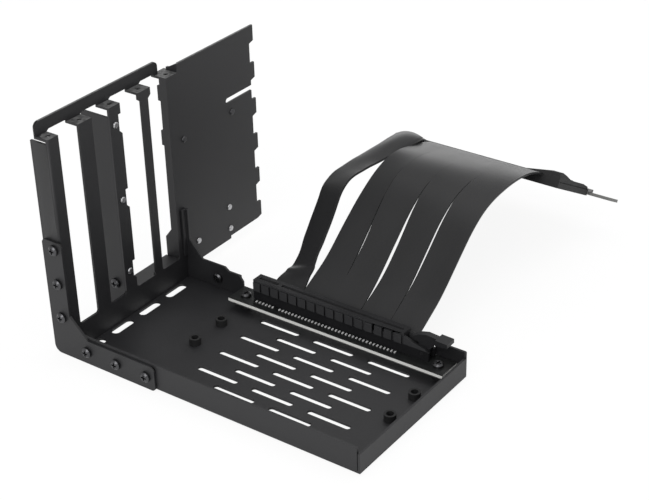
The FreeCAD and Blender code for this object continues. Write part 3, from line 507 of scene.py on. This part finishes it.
def strip_section(left, right, thick):
    """Outline of a strip across its width: flat faces and rounded edges."""
    half = thick / 2
    nose = half * EDGE_SHARE
    run = right - left - 2 * nose
    bends = [math.pi * i / EDGE_STEPS for i in range(1, EDGE_STEPS)]
    spots = [(left + nose + run * i / SPANS, half) for i in range(SPANS + 1)]
    spots += [(right - nose + nose * math.sin(bend), half * math.cos(bend)) for bend in bends]
    spots += [(right - nose - run * i / SPANS, -half) for i in range(SPANS + 1)]
    spots += [(left + nose - nose * math.sin(bend), -half * math.cos(bend)) for bend in bends]
    return spots


def sweep(name, line, section):
    """A closed mesh along a line; section(i, along) gives ring i's sideways direction and outline."""
    work = bmesh.new()
    rings = []
    last = len(line) - 1
    for i, point in enumerate(line):
        along = (line[min(i + 1, last)] - line[max(i - 1, 0)]).normalized()
        side, outline = section(i, along)
        up = side.cross(along).normalized()
        rings.append([work.verts.new(point + side * x + up * z) for x, z in outline])
    count = len(rings[0])
    for before, after in zip(rings, rings[1:]):
        for j in range(count):
            work.faces.new((before[j], before[(j + 1) % count], after[(j + 1) % count], after[j]))
    work.faces.new(list(reversed(rings[0])))
    work.faces.new(rings[-1])
    bmesh.ops.recalc_face_normals(work, faces=work.faces)
    for edge in work.edges:
        edge.smooth = edge.calc_face_angle() < CREASE
    mesh = finished(work, name)
    for face in mesh.polygons:
        face.use_smooth = len(face.vertices) == 4
    return mesh


def add_strip(number):
    """One flat strip along its route and the boot at its end; the first strip is twisted away."""
    line = smooth_line(route(number))
    last = len(line) - 1
    across = Vector((1, 0, 0))
    edges = None
    if number:
        edges = [smooth_line(route(number + shift)) for shift in (-0.5, 0.5)]

    def strip_ring(i, along):
        share = i / last
        left, right = (half_width(share, *slit) for slit in SLITS[number:number + 2])
        if number == 1:
            left -= swell(share, *NARROWED) + swell(share, *TUCKED)
        outline = strip_section(-left, right, THICK)
        if number:
            return (edges[1][i] - edges[0][i]).normalized(), outline
        cup = swell(share, *CUPPED)
        outline = [(x, z + cup * (1 - (2 * x / STRIP) ** 2)) for x, z in outline]
        return Matrix.Rotation(turned(share), 3, along) @ across, outline

    def boot_ring(i, along):
        return across, strip_section(-STRIP / 2, STRIP / 2, THICK + BOOT)

    name = f"ribbon_{number + 1}"
    piece = add_piece(name, sweep(name, line, strip_ring), RIBBON)
    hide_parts(f"ribbon_strip_{number + 1}")
    boot_name = f"ribbon_boot_{number + 1}"
    boot = add_piece(boot_name, sweep(boot_name, line[-BOOT_RINGS:], boot_ring), RIBBON)
    carried = [boot]
    if number == STRIPS // 2:
        carried += [dressed["plug_hood"], lug, "plug_board", "plug_contacts"]


def add_lug():
    """The low lug on the plug's board beside the hood's near end."""
    work = bmesh.new()
    bmesh.ops.create_cube(work, size=1.0)
    for vertex in work.verts:
        share = vertex.co + Vector((0.5, 0.5, 0.5))
        spot = LUG_LOW + Vector(a * b for a, b in zip(LUG_SIZE, share))
        vertex.co = PLUG_END + Vector((spot.x, 0, 0)) + PLUG_ALONG * spot.y + PLUG_UP * spot.z
    roll_edges(work, work.edges[:], LUG_EDGE)
    return add_piece("plug_lug", finished(work, "plug_lug"), LUG)


lug = add_lug()
for number in range(STRIPS):
    add_strip(number)

# Stage, light and camera, in metres and watts.
FLOOR_REACH = 8.0
FLOOR_Z = -0.3 * MM
WHITENESS = 0.9
MIRRORED = 0.4
SKY = 0.7
LAMPS = (
    ("key", (0.4, -1.6, 1.35), (0, 0, 0.04), 1.3, 1.3, 20),
    ("top", (0.1, 0.5, 1.9), (0, 0, 0.04), 1.6, 1.6, 11),
    ("back", (-0.72, 1.45, 0.32), (0, 0.08, 0.05), 0.9, 0.5, 2.6),
)
EYE = (0.385239, -0.476881, 0.415471)
AHEAD = Vector((-0.51257, 0.69871, -0.49907))
ABOVE = Vector((-0.27293, 0.41850, 0.86624))
SENSOR_MM = 36.0
LENS_MM = 86.278


def floor_paper():
    """Pale paper that looks white to the camera and in reflections, and keeps the shadow."""
    paper = Paint("pale_floor")
    tone = paper.blend(paper.noise(scale=6.0), (0.94, 0.94, 0.94), (0.96, 0.96, 0.96))
    paper.feed(Base_Color=tone, Roughness=0.9)
    mirrored = paper.make("ShaderNodeLightPath", out="Is Glossy Ray")
    mirrored = mirrored + paper.make("ShaderNodeLightPath", out="Is Transmission Ray")
    seen = paper.make("ShaderNodeLightPath", out="Is Camera Ray") * WHITENESS + mirrored * MIRRORED
    glow = paper.make("ShaderNodeEmission", {"Color": (1, 1, 1, 1), "Strength": 1.0})
    lit = Wire(paper, paper.shader.outputs[0])
    mixed = paper.make("ShaderNodeMixShader", {0: seen.clamp(), 1: lit, 2: glow})
    paper.join(mixed, paper.tree.nodes["Material Output"].inputs["Surface"])
    return paper.material


def add_floor():
    """One wide sheet just under the tray."""
    work = bmesh.new()
    level = Matrix.Translation((0, 0, FLOOR_Z))
    bmesh.ops.create_grid(work, x_segments=1, y_segments=1, size=FLOOR_REACH, matrix=level)
    floor = bpy.data.objects.new("floor", finished(work, "floor"))
    bpy.context.scene.collection.objects.link(floor)
    floor.data.materials.append(floor_paper())


def add_sky():
    """Even white light from all round."""
    world = bpy.data.worlds.new("studio")
    bpy.context.scene.world = world
    world.use_nodes = True
    sky = world.node_tree.nodes["Background"]
    sky.inputs["Color"].default_value = (1, 1, 1, 1)
    sky.inputs["Strength"].default_value = SKY


def soft_light(name, spot, target, width, height, power):
    """A softbox that looks at a point."""
    lamp = bpy.data.lights.new(name, "AREA")
    lamp.shape = "RECTANGLE"
    lamp.size = width
    lamp.size_y = height
    lamp.energy = power
    holder = bpy.data.objects.new(name, lamp)
    bpy.context.scene.collection.objects.link(holder)
    holder.location = spot
    holder.rotation_euler = (Vector(target) - Vector(spot)).to_track_quat("-Z", "Y").to_euler()


def add_camera():
    """The camera at the photograph's angle."""
    lens = bpy.data.cameras.new("camera")
    lens.sensor_fit = "HORIZONTAL"
    lens.sensor_width = SENSOR_MM
    lens.lens = LENS_MM
    lens.clip_start = 0.01
    lens.clip_end = 60.0
    camera = bpy.data.objects.new("camera", lens)
    bpy.context.scene.collection.objects.link(camera)
    ahead = AHEAD.normalized()
    right = ahead.cross(ABOVE).normalized()
    turn = Matrix((right, right.cross(ahead), -ahead)).transposed().to_4x4()
    camera.matrix_world = Matrix.Translation(EYE) @ turn
    bpy.context.scene.camera = camera


add_floor()
add_sky()
for lamp in LAMPS:
    soft_light(*lamp)
add_camera()
bpy.context.scene.view_settings.view_transform = "Standard"
